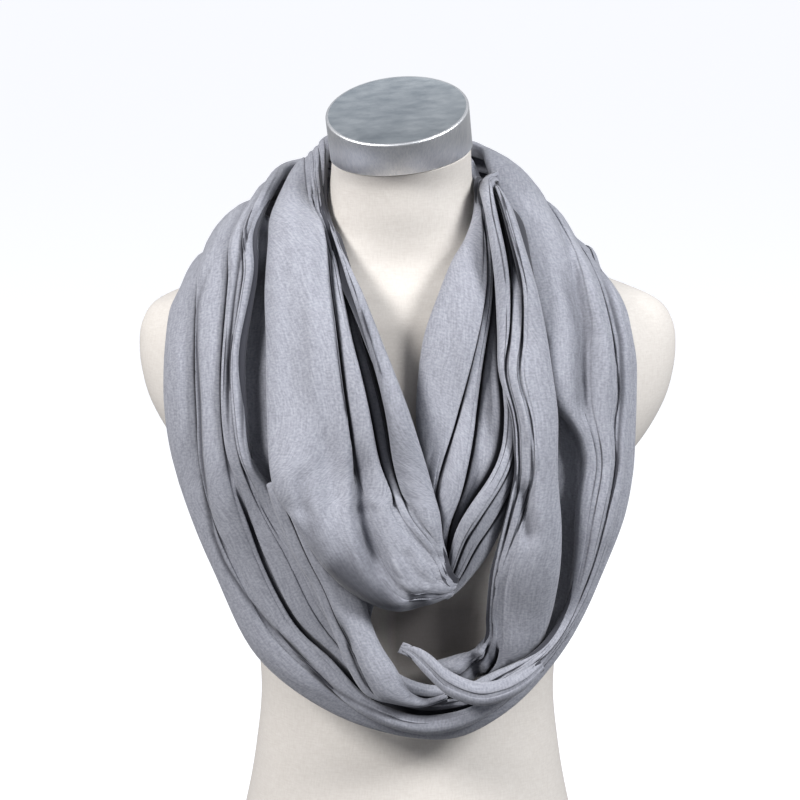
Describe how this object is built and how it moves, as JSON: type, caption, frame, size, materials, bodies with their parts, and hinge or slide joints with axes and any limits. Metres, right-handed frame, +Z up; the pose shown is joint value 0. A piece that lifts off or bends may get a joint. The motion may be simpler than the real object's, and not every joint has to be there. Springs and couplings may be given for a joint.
{
  "type": "nursing scarf on dress form",
  "caption": "Wide soft loop scarf wound twice round the neck of a limbless dress form that stands on its flat base and has a metal neck cap.",
  "frame": {"origin": "centre of the bounding box at its base, on the dress form's flat underside", "axes": "+Z up, the front of the garment and of the form faces -Y, +X is the viewer's right seen from the front"},
  "size_m": [0.426, 0.2753, 0.6933],
  "materials": {
    "grey_cloth": "matte plain weave cotton with fine slubs",
    "form_linen": "ivory linen stretched smooth over the form",
    "brushed_cap": "brushed steel with a narrow bright chamfer"
  },
  "bodies": {
    "root": {"dress_form": "form_linen", "neck_cap": "brushed_cap", "outer_turn_left": "grey_cloth", "outer_turn_right": "grey_cloth", "strap": "grey_cloth", "inner_band": "grey_cloth", "lower_lip": "grey_cloth", "inner_turn_left": "grey_cloth", "inner_turn_right": "grey_cloth"}
  },
  "joints": []
}
